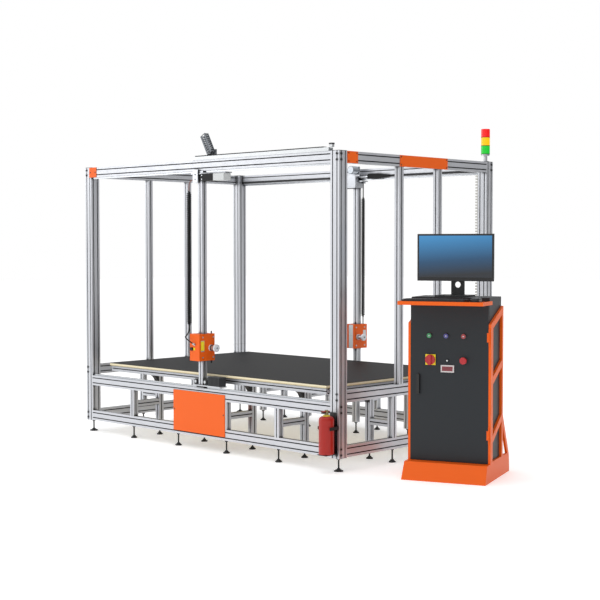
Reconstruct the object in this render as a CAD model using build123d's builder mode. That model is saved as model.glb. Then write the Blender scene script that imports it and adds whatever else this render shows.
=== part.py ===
"""Open-frame CNC hot-wire foam cutter with its separate control cabinet.

Millimetres, +Z up, floor at Z = 0.  The machine's long side lies along X and
its front faces -Y; the cabinet stands to its right, turned towards the user.
"""
from build123d import *
from math import cos, radians, sin, tan
import os

os.makedirs("parts", exist_ok=True)

# ---------------------------------------------------------------- dimensions
LENGTH = 2830                       # machine frame along X
WIDTH = 1710                        # machine frame along Y
TOP = 2150                          # top of the corner posts
FOOT = 90                           # height of the levelling feet
POST = 80                           # square corner post
RAIL = 40                           # thickness of the beams and rails
BEAM = 80                           # height of the beams and rails
STUD = 45                           # square stud, leg and tower section
PITCH = 40                          # distance between T-slots
MACHINE_X = -502.7                  # machine centre in the part's frame
MACHINE_Y = 27.0
LOW_RAIL = 95                       # underside of the lower rails
MID_RAIL = 380                      # underside of the front and back middle rails
SIDE_RAIL = 465                     # underside of the side middle rails

TABLE_TOP = 565                     # upper face of the black mat
MAT = 3
BOARD = 18
BOARD_X = 2430
BOARD_Y = 1536
TABLE_EDGE = 10                     # overhang of the board past its frame
STATION = 545                       # spacing of the legs along X
LEG_ROW = 280                       # inner leg row, from the front face

COLUMN_X = 1425                     # front tower's centre, from the left face
REAR_SHIFT = 40                     # the rear tower stands this much further right
GUIDE = 12                          # height of a linear guide
GUIDE_WIDE = 15
CLEAR = 1                           # gap between a moving block and its rail

HEAD_LOW = 665                      # underside of the wire heads at their lower stop
HEAD_TALL = 200
HEAD_LEFT = 62                      # head cover, left of the column's centre
HEAD_RIGHT = 45                     # head cover, right of the column's centre
HEAD_OUT = 50                       # head cover, outside the frame's face
HEAD_IN = 100                       # head cover, inside the frame's face
SHEET = 3
REEL_DEPTH = 61                     # reel axis, inside the frame's face
REEL_Z = 760
REEL_DRUM = 17
REEL_FLANGE = 27
WIRE = 0.8

COIL = 32                           # outer diameter of the coiled cable
CABLE = 9
COIL_TOP = 1927
COIL_LOW = 917

LAMP = 66
CABINET_X = 2028                    # cabinet centre, from the machine's centre
CABINET_Y = -375
CABINET_TURN = 21                   # degrees, towards the user
CAB_HALF = 263                      # half width of the cabinet body
CAB_FRONT = -168                    # face of the door
CAB_BACK = 136
CAB_TOP = 1139
PLINTH = 114
DOOR = 18
GAP = 0.3                           # running gap between two moving pieces
SEAM = 0.2                          # seam between sheets or bars of one assembly

X0 = MACHINE_X - LENGTH / 2
X1 = MACHINE_X + LENGTH / 2
Y0 = MACHINE_Y - WIDTH / 2
Y1 = MACHINE_Y + WIDTH / 2
FRONT, REAR = 1, -1
turn = radians(CABINET_TURN)
CABINET = Plane(
    origin=(MACHINE_X + CABINET_X, MACHINE_Y + CABINET_Y, 0),
    x_dir=(cos(turn), sin(turn), 0),
    z_dir=(0, 0, 1),
)
OUTWARD = Axis(CABINET.origin, -CABINET.y_dir)


# ------------------------------------------------------------------- helpers
def depth(side, inward):
    """Y of a point measured inwards from the front or the rear face."""
    return Y0 + inward if side == FRONT else Y1 - inward


def block(x, y, z, mode=Mode.ADD):
    """Box between two values on each axis."""
    centre = (sum(x) / 2, sum(y) / 2, sum(z) / 2)
    with Locations(centre):
        Box(abs(x[1] - x[0]), abs(y[1] - y[0]), abs(z[1] - z[0]), mode=mode)


def rod(centre, radius, length, axis, mode=Mode.ADD):
    """Round bar centred on a point, along X, Y or Z."""
    turned = {"X": (0, 90, 0), "Y": (90, 0, 0), "Z": (0, 0, 0)}[axis]
    with Locations(centre):
        Cylinder(radius, length, rotation=turned, mode=mode)


def slot_section(plane, wide, tall):
    """Extruded aluminium section with a T-slot every PITCH on all four sides."""
    lip, cavity, mouth, throat = 4.5, 6.5, 8, 17
    with BuildSketch(plane) as section:
        Rectangle(wide, tall)
        for across, along, level in ((wide, tall, False), (tall, wide, True)):
            count = max(1, round(along / PITCH))
            for i in range(count):
                at = (i - (count - 1) / 2) * PITCH
                for end in (-1, 1):
                    outer = end * (across / 2 - lip / 2)
                    inner = end * (across / 2 - lip - cavity / 2)
                    for offset, long, short in ((outer, lip, mouth), (inner, cavity, throat)):
                        place = (at, offset) if level else (offset, at)
                        size = (short, long) if level else (long, short)
                        with Locations(place):
                            Rectangle(*size, mode=Mode.SUBTRACT)
    return section.sketch


def bar(start, along, length, wide, tall):
    """T-slot bar from a start point on its centre line; wide is across, tall is up."""
    planes = {
        "X": Plane(origin=start, x_dir=(0, 1, 0), z_dir=(1, 0, 0)),
        "Y": Plane(origin=start, x_dir=(1, 0, 0), z_dir=(0, 1, 0)),
        "Z": Plane(origin=start),
    }
    extrude(slot_section(planes[along], wide, tall), amount=length)


def both_faces(inward):
    return [(side, depth(side, inward)) for side in (FRONT, REAR)]


def save(builder, name):
    builder.part.label = name
    export_step(builder.part, f"parts/{name}.step")


STATIONS = [MACHINE_X + (i - 1.5) * STATION for i in range(4)]
SIDE_STATIONS = [Y0 + WIDTH / 3, Y1 - WIDTH / 3]
UPPER_STUDS = [Y0 + 640, Y0 + 1070]
POSTS = [(x, y) for x in (X0 + POST / 2, X1 - POST / 2) for y in (Y0 + POST / 2, Y1 - POST / 2)]

# --------------------------------------------------------------------- frame
with BuildPart() as corner_posts:
    for x, y in POSTS:
        bar((x, y, FOOT), "Z", TOP - FOOT, POST, POST)
save(corner_posts, "corner_posts")


def ring_of_rails(z_front, z_side):
    """Four rails between the posts, flush with their outer faces."""
    for _, y in both_faces(RAIL / 2):
        bar((X0 + POST, y, z_front + BEAM / 2), "X", LENGTH - 2 * POST, RAIL, BEAM)
    for x in (X0 + RAIL / 2, X1 - RAIL / 2):
        bar((x, Y0 + POST, z_side + BEAM / 2), "Y", WIDTH - 2 * POST, RAIL, BEAM)


with BuildPart() as top_beams:
    ring_of_rails(TOP - BEAM, TOP - BEAM)
save(top_beams, "top_beams")

with BuildPart() as middle_rails:
    ring_of_rails(MID_RAIL, SIDE_RAIL)
save(middle_rails, "middle_rails")

with BuildPart() as lower_rails:
    ring_of_rails(LOW_RAIL, LOW_RAIL)
save(lower_rails, "lower_rails")

with BuildPart() as studs:
    low = LOW_RAIL + BEAM
    for x in (X0 + STUD / 2, X1 - STUD / 2):
        for y in UPPER_STUDS:
            bar((x, y, SIDE_RAIL + BEAM), "Z", TOP - SIDE_RAIL - 2 * BEAM, STUD, STUD)
        for y in SIDE_STATIONS:
            bar((x, y, low), "Z", SIDE_RAIL - low, STUD, STUD)
    for _, y in both_faces(STUD / 2):
        for x in STATIONS:
            bar((x, y, low), "Z", MID_RAIL - low, STUD, STUD)
save(studs, "studs")

# --------------------------------------------------------------------- table
FRAME_TOP = TABLE_TOP - MAT - BOARD
FRAME_LOW = FRAME_TOP - STUD
HALF_X = BOARD_X / 2 - TABLE_EDGE
HALF_Y = BOARD_Y / 2 - TABLE_EDGE
SIDE_LEG_X = HALF_X - STUD / 2
LEGS = [(x, depth(side, LEG_ROW), "Y", side) for x in STATIONS for side in (FRONT, REAR)]
LEGS += [(MACHINE_X + s * SIDE_LEG_X, y, "X", s) for y in SIDE_STATIONS for s in (-1, 1)]

with BuildPart() as table_legs:
    tie_z = 270
    for x, y, run, side in LEGS:
        bar((x, y, FOOT), "Z", FRAME_LOW - FOOT, STUD, STUD)
        # tie bar from the outer stud to the leg
        if run == "Y":
            ends = sorted((depth(side, STUD), y - side * STUD / 2))
            bar((x, ends[0] + SEAM, tie_z), "Y", ends[1] - ends[0] - 2 * SEAM, STUD, STUD)
        else:
            ends = sorted((MACHINE_X + side * (LENGTH / 2 - STUD), x + side * STUD / 2))
            bar((ends[0] + SEAM, y, tie_z), "X", ends[1] - ends[0] - 2 * SEAM, STUD, STUD)
save(table_legs, "table_legs")

with BuildPart() as leg_braces:
    knee = 90
    for x, y, run, side in LEGS:
        facing = side if run == "Y" else FRONT
        leg_face = y - facing * STUD / 2
        # curved knee bracket in the corner under the table frame
        corner = Plane(
            origin=(x + facing * RAIL / 2, leg_face, FRAME_LOW),
            x_dir=(0, -facing, 0),
            z_dir=(-facing, 0, 0),
        )
        with BuildSketch(corner) as bracket:
            with BuildLine():
                Polyline((0, 0), (knee, 0), (knee, -8))
                ThreePointArc((knee, -8), (knee * 0.36, -knee * 0.36), (8, -knee))
                Polyline((8, -knee), (0, -knee), (0, 0))
            make_face()
        extrude(bracket.sketch, amount=RAIL)
save(leg_braces, "leg_braces")

with BuildPart() as table_frame:
    mid = FRAME_TOP - STUD / 2
    left = MACHINE_X - HALF_X
    front = MACHINE_Y - HALF_Y
    for s in (-1, 1):
        y = MACHINE_Y + s * (HALF_Y - STUD / 2)
        bar((left, y, mid), "X", 2 * HALF_X, STUD, STUD)
        x = MACHINE_X + s * SIDE_LEG_X
        bar((x, front + STUD + SEAM, mid), "Y", 2 * (HALF_Y - STUD - SEAM), STUD, STUD)
    for x in STATIONS:
        bar((x, front + STUD + SEAM, mid), "Y", 2 * (HALF_Y - STUD - SEAM), STUD, STUD)
save(table_frame, "table_frame")

with BuildPart() as table_board:
    with Locations((MACHINE_X, MACHINE_Y, FRAME_TOP + BOARD / 2)):
        Box(BOARD_X, BOARD_Y, BOARD)
save(table_board, "table_board")

with BuildPart() as table_mat:
    with Locations((MACHINE_X, MACHINE_Y, TABLE_TOP - MAT / 2)):
        Box(BOARD_X, BOARD_Y, MAT)
save(table_mat, "table_mat")

# ---------------------------------------------------------------------- feet
PAD_TALL = 20
FEET = [(x, y, FOOT, 32) for x, y in POSTS]
FEET += [(x, y, LOW_RAIL, 25) for x in STATIONS for _, y in both_faces(RAIL / 2)]
FEET += [(x, y, LOW_RAIL, 25) for x in (X0 + RAIL / 2, X1 - RAIL / 2) for y in SIDE_STATIONS]
FEET += [(x, y, FOOT, 25) for x, y, _, _ in LEGS]

with BuildPart() as levelling_pads:
    for x, y, _, radius in FEET:
        with BuildSketch(Plane(origin=(x, y, 0), x_dir=(1, 0, 0), z_dir=(0, -1, 0))) as half:
            Polygon((0, 0), (radius, 0), (radius, 7), (13, 15), (13, PAD_TALL), (0, PAD_TALL), align=None)
        revolve(half.sketch, axis=Axis((x, y, 0), (0, 0, 1)))
save(levelling_pads, "levelling_pads")

BOLT_HEAD = 6
with BuildPart() as frame_fasteners:
    # threaded stem and jam nut of every levelling foot
    nut = 10
    for x, y, height, _ in FEET:
        with BuildSketch(Plane(origin=(x, y, height - nut))) as jam_nut:
            RegularPolygon(13, 6)
        extrude(jam_nut.sketch, amount=nut)
        rod((x, y, (PAD_TALL + height) / 2), 6, height - PAD_TALL, "Z")

    # socket-head bolts through the posts into the ends of every rail
    ends = [LOW_RAIL, TOP - BEAM]
    for x, y in POSTS:
        out_x = 1 if x > MACHINE_X else -1
        out_y = 1 if y > MACHINE_Y else -1
        for low in ends + [MID_RAIL]:
            for up in (20, 60):
                at = (x + out_x * (POST + BOLT_HEAD) / 2, y + out_y * PITCH / 2, low + up)
                rod(at, 7, BOLT_HEAD, "X")
        for low in ends + [SIDE_RAIL]:
            for up in (20, 60):
                at = (x + out_x * PITCH / 2, y + out_y * (POST + BOLT_HEAD) / 2, low + up)
                rod(at, 7, BOLT_HEAD, "Y")
save(frame_fasteners, "frame_fasteners")

# -------------------------------------------------------------- orange covers
with BuildPart() as orange_covers:
    # large panel over the lower front, screwed to the lower and middle rails
    block((X0 + 1112, X0 + 1694), (Y0 - SHEET, Y0), (120, 428))
    # end plate on the front top beam
    block((X0 + 58, X0 + 152), (Y0 - SHEET, Y0), (TOP - BEAM, TOP))
    # end plate and long plate on the right top beam
    block((X1, X1 + SHEET), (Y0 + 80, Y0 + 184), (TOP - BEAM, TOP))
    block((X1, X1 + SHEET), (Y0 + 622, Y0 + 1154), (TOP - BEAM, TOP))
save(orange_covers, "orange_covers")

# ------------------------------------------------- cable tray, riser, belts
TRAY = (X0 + 1350, X0 + 2735)


def comb(plane, count, pitch, tooth, base, tall, thick):
    """Strip with square teeth, drawn on a plane and thickened along its normal."""
    with BuildSketch(plane) as strip:
        with Locations((count * pitch / 2, base / 2)):
            Rectangle(count * pitch, base)
        for i in range(count):
            with Locations(((i + 0.5) * pitch, (base + tall) / 2)):
                Rectangle(tooth, tall - base)
    extrude(strip.sketch, amount=thick)


with BuildPart() as chain_tray:
    tray_tall = 25
    with BuildSketch(Plane(origin=(TRAY[0], Y0 + RAIL / 2, TOP), x_dir=(0, 1, 0), z_dir=(1, 0, 0))) as channel:
        with Locations((0, tray_tall / 2)):
            Rectangle(44, tray_tall)
        with Locations((0, tray_tall / 2 + 1)):
            Rectangle(40, tray_tall - 2, mode=Mode.SUBTRACT)
    extrude(channel.sketch, amount=TRAY[1] - TRAY[0])
    # energy chain lying in the tray
    chain = Plane(origin=(TRAY[0] + 15, Y0 + 38, TOP + 3), x_dir=(1, 0, 0), z_dir=(0, -1, 0))
    comb(chain, 45, 30, 24, 17, 24, 36)
save(chain_tray, "chain_tray")

with BuildPart() as cable_riser:
    # slotted wiring duct on the inner face of the rear right post
    duct = Plane(origin=(X1 - POST, Y1 - POST + 28, 560), x_dir=(0, 0, 1), z_dir=(0, -1, 0))
    comb(duct, 68, 22, 12, 8, 26, 24)
save(cable_riser, "cable_riser")

with BuildPart() as guide_rails:
    for side, y in both_faces(RAIL / 2):
        for z in (MID_RAIL + BEAM + GUIDE / 2, TOP - BEAM - GUIDE / 2):
            with Locations((MACHINE_X, y, z)):
                Box(LENGTH - 2 * POST - 20, GUIDE_WIDE, GUIDE)
save(guide_rails, "guide_rails")

with BuildPart() as drive_belts:
    belt_in, belt_out = RAIL, RAIL + 4
    for side in (FRONT, REAR):
        band = (depth(side, belt_in), depth(side, belt_out))
        for z in (TOP - 65, MID_RAIL + 40):
            block((X0 + POST + 4, X1 - POST - 4), band, (z - 7, z + 7))
save(drive_belts, "drive_belts")

# --------------------------------------------------------------- signal lamp
LAMP_X = X1 - POST / 2
LAMP_Y = Y1 - POST / 2
LAMP_LOW = TOP + 61
MODULE = 63
with BuildPart() as lamp_pole:
    rod((LAMP_X, LAMP_Y, TOP + 4), 25, 8, "Z")
    rod((LAMP_X, LAMP_Y, TOP + 8 + 20), 14, 40, "Z")
    rod((LAMP_X, LAMP_Y, LAMP_LOW - 6.5), 30, 13, "Z")
save(lamp_pole, "lamp_pole")

for i, colour in enumerate(("green", "amber", "red")):
    with BuildPart() as lens:
        rod((LAMP_X, LAMP_Y, LAMP_LOW + (i + 0.5) * MODULE), LAMP / 2, MODULE, "Z")
        if colour == "red":
            top_edge = lens.faces().sort_by(Axis.Z)[-1].edges()
            fillet(top_edge, 5)
    save(lens, f"{colour}_lens")

# ---------------------------------------------------------- fire extinguisher
EXT_X = X0 + 2775
EXT_Y = Y0 - 64
EXT_LOW = 131
with BuildPart() as extinguisher_bracket:
    block((EXT_X - 25, EXT_X + 25), (Y0 - 5, Y0), (EXT_LOW - 10, 400))
    block((EXT_X - 40, EXT_X + 40), (Y0 - 110, Y0 - 8), (EXT_LOW - 10, EXT_LOW - 5))
    block((EXT_X - 25, EXT_X + 25), (Y0 - 8, Y0 - 5), (EXT_LOW - 10, EXT_LOW - 5))
    for s in (-1, 1):
        block((EXT_X + s * 54, EXT_X + s * 57), (Y0 - 90, Y0 - 5), (290, 312))
        block((EXT_X + s * 25, EXT_X + s * 57), (Y0 - 5, Y0 - 2), (290, 312))
save(extinguisher_bracket, "extinguisher_bracket")

with BuildPart() as extinguisher:
    with BuildSketch(Plane(origin=(EXT_X, EXT_Y, EXT_LOW - 5 + GAP), x_dir=(1, 0, 0), z_dir=(0, -1, 0))) as half:
        with BuildLine():
            Polyline((0, 0), (49, 0), (52, 5), (52, 232))
            ThreePointArc((52, 232), (44, 248), (20, 255))
            Polyline((20, 255), (20, 263), (11, 263), (11, 296), (0, 296), (0, 0))
        make_face()
    revolve(half.sketch, axis=Axis((EXT_X, EXT_Y, 0), (0, 0, 1)))
    # carrying handle and squeeze lever
    block((EXT_X - 9, EXT_X + 9), (EXT_Y - 40, EXT_Y + 24), (EXT_LOW + 276, EXT_LOW + 286))
save(extinguisher, "extinguisher")


# -------------------------------------------------------------------- towers
GUIDE_LOW = MID_RAIL + BEAM + GUIDE        # top of the lower guides
GUIDE_HIGH = TOP - BEAM - GUIDE            # underside of the upper guides
PLATE = 8
GEARBOX = 52                               # height of the upper drive
GEARBOX_END = 162                          # column centre to the gearbox's far end
UPPER_REACH = 284                          # column centre to the end of the upper plate
LOWER_REACH = 222                          # column centre to the end of the lower plate
BASE_Z = (GUIDE_LOW + 4, GUIDE_LOW + 4 + PLATE)
CAP_Z = (GUIDE_HIGH - 4 - PLATE, GUIDE_HIGH - 4)


def column_of(side):
    return X0 + COLUMN_X + (0 if side == FRONT else REAR_SHIFT)


def shoe(cx, side, z_face, z_plate):
    """Black bearing shoe that straddles a guide, between the rail and the plate."""
    y = depth(side, RAIL / 2)
    up = 1 if z_plate > z_face else -1
    low = z_face + up * CLEAR
    block((cx - 40, cx + 40), (y - 25, y + 25), (low, z_plate))
    half = GUIDE_WIDE / 2 + GAP
    block((cx - 41, cx + 41), (y - half, y + half), (low, z_face + up * (GUIDE + GAP)), Mode.SUBTRACT)


def tower_column(side):
    """Vertical T-slot column that the wire head climbs."""
    cx = column_of(side)
    with BuildPart() as column:
        bar((cx, depth(side, STUD / 2), BASE_Z[1]), "Z", CAP_Z[0] - BASE_Z[1], STUD, STUD)
    return column


def tower_trolleys(side):
    """Lower and upper trolleys: bearing shoes, plates, rollers and cable bracket."""
    cx = column_of(side)
    face = (depth(side, -8), depth(side, 62))
    with BuildPart() as trolleys:
        shoe(cx, side, MID_RAIL + BEAM, BASE_Z[0])
        block((cx - 80, cx + LOWER_REACH), face, BASE_Z)
        for dx in (-52, 52):
            block((cx + dx - 14, cx + dx + 14), (depth(side, 0), depth(side, 40)), (BASE_Z[1], BASE_Z[1] + 22))
            rod((cx + dx, depth(side, 20), BASE_Z[1] + 24), 20, 40, "Y")
        shoe(cx, side, TOP - BEAM, CAP_Z[1])
        # the motor end of the upper plate is to the right in front, to the left behind
        block((cx - side * 92, cx + side * UPPER_REACH), face, CAP_Z)
        # black gearbox under the upper plate, its flange in front of the column
        gearbox_z = (CAP_Z[0] - GEARBOX, CAP_Z[0])
        block((cx + side * 26, cx + side * GEARBOX_END), (depth(side, -20), depth(side, 56)), gearbox_z)
        if side == FRONT:
            # perforated bracket that hangs the coiled cable
            wall = (depth(side, -18), depth(side, -8))
            block((cx - 62, cx - 6), wall, (CAP_Z[0] - 62, TOP - BEAM + 10))
            for z in (CAP_Z[0] - 38, CAP_Z[0] - 4):
                rod((cx - 34, depth(side, -13), z), 6, 12, "Y", Mode.SUBTRACT)
        else:
            # light housing on the inner side of the rear top beam
            block((cx - 60, cx + 41), (depth(side, 50), depth(side, 92)), (TOP - 154, TOP - 52))
            block((cx + 26, cx + 41), (depth(side, 2), depth(side, 50)), (TOP - 154, CAP_Z[0]))
            block((cx - 24, cx + 86), (depth(side, 84), depth(side, 92)), (TOP - 60, TOP + 18))
            # cable clamp under the plate, and the tapered belt cover with its arm
            block((cx + 14, cx + 50), (depth(side, -26), depth(side, -2)), (CAP_Z[0] - 12, CAP_Z[0]))
            block((cx + 41, cx + 150), (depth(side, 52), depth(side, 58)), (TOP - 70, TOP - 58))
            wedge_plane = Plane(origin=(cx + 145, depth(side, 50), TOP - 64), x_dir=(1, 0, 0), z_dir=(0, -1, 0))
            with BuildSketch(wedge_plane) as wedge:
                Polygon((0, -20), (120, -20), (230, -5), (230, 5), (120, 20), (0, 20), align=None)
            extrude(wedge.sketch, amount=8)
    return trolleys


def tower_motors(side):
    """Travel motors of the lower and upper trolleys."""
    cx = column_of(side)
    with BuildPart() as motors:
        low = BASE_Z[1]
        block((cx + 86, cx + LOWER_REACH - 6), (depth(side, -6), depth(side, 58)), (low, low + 66))
        high = CAP_Z[0]
        reach = (cx + side * GEARBOX_END, cx + side * (UPPER_REACH - 4))
        block(reach, (depth(side, -17), depth(side, 52)), (high - GEARBOX, high - CLEAR))
        if side == REAR:
            rod((cx + 52, depth(side, 92 + 36), TOP - 12), 33, 72, "Y")
    return motors


def head_cover(side):
    """Folded sheet cover of a wire head; its pieces meet along their edges."""
    cx = column_of(side)
    left, right = cx - HEAD_LEFT, cx + HEAD_RIGHT
    z = (HEAD_LOW, HEAD_LOW + HEAD_TALL)
    fold = HEAD_OUT - SHEET - SEAM
    outer = (depth(side, -HEAD_OUT), depth(side, -HEAD_OUT + SHEET))
    sides = (depth(side, -fold), depth(side, HEAD_IN))
    inner = (depth(side, HEAD_IN - SHEET), depth(side, HEAD_IN))
    lips = (left + SHEET + SEAM, right - SHEET - SEAM)
    with BuildPart() as cover:
        block((left, right), outer, z)
        block((left, left + SHEET), sides, z)
        block((right - SHEET, right), sides, z)
        block((lips[0], cx - 24), inner, z)
        block((cx + 24, lips[1]), inner, z)
        for end in (z[0], z[1] - SHEET):
            lid = (end, end + SHEET)
            block(lips, (depth(side, -fold), depth(side, -4)), lid)
            block(lips, (depth(side, STUD + 4), depth(side, HEAD_IN - SHEET - SEAM)), lid)
        rod((right - SHEET / 2, depth(side, REEL_DEPTH), REEL_Z), 7, 8, "X", Mode.SUBTRACT)
    return cover


def head_block(side):
    """Carriage inside the cover: two plates across the column, rollers and spindle."""
    cx = column_of(side)
    low, high = HEAD_LOW + 12, HEAD_LOW + HEAD_TALL - 12
    with BuildPart() as carriage:
        block((cx - 55, cx + 38), (depth(side, -30), depth(side, -GAP * 4)), (low, high))
        block((cx - 55, cx + 38), (depth(side, STUD + GAP * 4), depth(side, 92)), (low, high))
        for z in (low + 25, high - 25):
            rod((cx - 37, depth(side, STUD / 2), z), 13, STUD + 2.4, "Y")
        # spindle of the wire reel
        rod((cx + 38 + 40, depth(side, REEL_DEPTH), REEL_Z), 5, 80, "X")
        # tension pins above and below the cover
        for z in (HEAD_LOW - 10, HEAD_LOW + HEAD_TALL + 10):
            rod((cx + 32, depth(side, 78), z), 5, 20, "Z")
    return carriage


def wire_reel(side):
    """Spring-loaded reel that keeps the cutting wire tight."""
    cx = column_of(side)
    start = cx + HEAD_RIGHT + 1
    y = depth(side, REEL_DEPTH)
    with BuildPart() as reel:
        rod((start + 6, y, REEL_Z), REEL_FLANGE - 4, 12, "X")
        rod((start + 34, y, REEL_Z), REEL_DRUM, 44, "X")
        rod((start + 61, y, REEL_Z), REEL_FLANGE, 10, "X")
        rod((start + 33, y, REEL_Z), 5.05, 80, "X", Mode.SUBTRACT)
    return reel


GLAND = (column_of(FRONT) - 5, Y0 - HEAD_OUT - 8, HEAD_LOW + 122)
GLAND_WAY = (-0.6, -0.55, 0.58)            # the gland leans up and to the left
GLAND_LONG = 14


def head_fittings(side):
    """Bolts, blank label plate and plug socket on the outside of a head."""
    cx = column_of(side)
    right = cx + HEAD_RIGHT
    with BuildPart() as fittings:
        for z in (HEAD_LOW + 25, HEAD_LOW + HEAD_TALL - 25):
            for inward in (-18, 84):
                rod((right + 2, depth(side, inward), z), 6, 4, "X")
        block((right, right + 1.5), (depth(side, -36), depth(side, -2)), (HEAD_LOW + 68, HEAD_LOW + 150))
        rod((cx - 36, depth(side, -HEAD_OUT - 6), HEAD_LOW + 88), 12, 12, "Y")
        if side == FRONT:
            rod((GLAND[0], GLAND[1] + 4, GLAND[2]), 10, 8, "Y")
            with BuildSketch(Plane(origin=GLAND, z_dir=GLAND_WAY)) as gland:
                Circle(7)
            extrude(gland.sketch, amount=GLAND_LONG)
    return fittings


for side, name in ((FRONT, "front"), (REAR, "rear")):
    save(tower_column(side), f"{name}_column")
    save(tower_trolleys(side), f"{name}_trolleys")
    save(tower_motors(side), f"{name}_motors")
    save(head_cover(side), f"{name}_head_cover")
    save(head_block(side), f"{name}_head_block")
    save(wire_reel(side), f"{name}_wire_reel")
    save(head_fittings(side), f"{name}_head_fittings")

with BuildPart() as hot_wire:
    wire_z = REEL_Z + REEL_DRUM + WIRE / 2 + GAP
    run_from = Vector(column_of(FRONT) + 80, depth(FRONT, REEL_DEPTH), wire_z)
    run_to = Vector(column_of(REAR) + 80, depth(REAR, REEL_DEPTH), wire_z)
    span = run_to - run_from
    with BuildSketch(Plane(origin=run_from, z_dir=span.normalized())) as wire_section:
        Circle(WIRE / 2)
    extrude(wire_section.sketch, amount=span.length)
save(hot_wire, "hot_wire")

with BuildPart() as chain_arm:
    # leaning perforated arm above the front beam, carried round its inner side
    cx = column_of(FRONT)
    lean = radians(29)
    foot_x = cx + 96
    arm_low = TOP + 46
    arm = Plane(
        origin=(foot_x, Y0 + 46, arm_low),
        x_dir=(cos(lean), 0, sin(lean)),
        z_dir=(0, -1, 0),
    )
    tall, wide, holes = 158, 54, 8
    for near in (0, 34):
        face = arm.offset(near)
        with BuildSketch(face) as ladder:
            with Locations((0, tall / 2)):
                Rectangle(wide, tall)
            for i in range(holes):
                with Locations((0, (i + 0.5) * tall / holes)):
                    Rectangle(wide - 24, tall / holes - 8, mode=Mode.SUBTRACT)
        extrude(ladder.sketch, amount=4)
    for i in range(holes + 1):
        with BuildSketch(arm.offset(4)) as rung:
            for s in (-1, 1):
                with Locations((s * (wide / 2 - 5), 5 + i * (tall - 10) / holes)):
                    Rectangle(8, 8)
        extrude(rung.sketch, amount=30)
    # bracket from the upper plate, up behind the beam
    block((cx + 60, cx + 130), (Y0 + 46, Y0 + 52), (CAP_Z[1], arm_low + 30))
    block((cx + 60, cx + 130), (Y0 + 46, Y0 + 62), (CAP_Z[1], CAP_Z[1] + 6))
save(chain_arm, "chain_arm")


# --------------------------------------------------------------- cable routes
def tube(points, diameter):
    """Round tube along straight runs joined by arcs as large as the runs allow."""
    route = [Vector(*p) for p in points]
    radii = []
    for before, at, after in zip(route, route[1:], route[2:]):
        shorter = min((at - before).length, (after - at).length)
        bend = radians((at - before).get_angle(after - at))
        radii.append(0.45 * shorter / tan(bend / 2))
    print("arc radii", [round(r, 1) for r in radii])
    with BuildLine() as path:
        if radii:
            FilletPolyline(*route, radius=radii)
        else:
            Line(*route)
    start = path.line @ 0
    with BuildSketch(Plane(origin=start, z_dir=path.line % 0)) as section:
        Circle(diameter / 2)
    sweep(section.sketch, path=path.line)


FRONT_COIL = (column_of(FRONT) - 110, depth(FRONT, -13))
REAR_COIL = (column_of(REAR) + 32, depth(REAR, -16))
LEAD_Z = CAP_Z[0] - 40
FRONT_LEAD = [
    (FRONT_COIL[0] + 48, FRONT_COIL[1], LEAD_Z),
    (FRONT_COIL[0] + 24, FRONT_COIL[1], LEAD_Z - 3),
    (FRONT_COIL[0] + 8, FRONT_COIL[1], LEAD_Z - 21),
    (FRONT_COIL[0], FRONT_COIL[1], LEAD_Z - 46),
    (FRONT_COIL[0], FRONT_COIL[1], COIL_TOP),
]
REAR_LEAD = [
    (REAR_COIL[0], REAR_COIL[1], CAP_Z[0] - 12),
    (REAR_COIL[0], REAR_COIL[1], COIL_TOP),
]
TAIL_END = Vector(*GLAND) + Vector(*GLAND_WAY).normalized() * GLAND_LONG
TAIL_BEND = TAIL_END + Vector(*GLAND_WAY).normalized() * 52
FRONT_TAIL = [
    (FRONT_COIL[0], FRONT_COIL[1], COIL_LOW - GAP),
    (FRONT_COIL[0], FRONT_COIL[1], COIL_LOW - 24),
    (FRONT_COIL[0], FRONT_COIL[1] - 13, COIL_LOW - 51),
    (FRONT_COIL[0] + 12, FRONT_COIL[1] - 45, COIL_LOW - 75),
    (FRONT_COIL[0] + 38, FRONT_COIL[1] - 75, COIL_LOW - 74),
    tuple(TAIL_BEND),
    tuple(TAIL_END),
]
REAR_TAIL = [
    (REAR_COIL[0], REAR_COIL[1], COIL_LOW - GAP),
    (REAR_COIL[0], REAR_COIL[1], HEAD_LOW + HEAD_TALL),
]

for name, lead, tail, (x, y) in (
    ("front", FRONT_LEAD, FRONT_TAIL, FRONT_COIL),
    ("rear", REAR_LEAD, REAR_TAIL, REAR_COIL),
):
    with BuildPart() as coil:
        rod((x, y, (COIL_TOP + COIL_LOW) / 2), COIL / 2, COIL_TOP - COIL_LOW, "Z")
        tube(lead, CABLE)
    save(coil, f"{name}_coil_cable")
    with BuildPart() as low_tail:
        tube(tail, CABLE)
    save(low_tail, f"{name}_cable_tail")

# ------------------------------------------------------------------- cabinet
with BuildPart() as plinth:
    with BuildSketch(CABINET):
        Rectangle(564, 600)
    with BuildSketch(CABINET.offset(PLINTH)):
        with Locations((0, 29)):
            Rectangle(558, 542)
    loft()
save(plinth, "plinth")

WALL = 4
DOOR_BACK = CAB_FRONT + DOOR + 1
TOP_BOX = 1184                          # top of the dark box that carries the monitor


def side_plane(x):
    """Plane whose axes are the cabinet's depth and height, facing its right side."""
    return Plane(
        origin=CABINET.from_local_coords((x, 0, 0)),
        x_dir=CABINET.y_dir,
        z_dir=CABINET.x_dir,
    )


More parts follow.
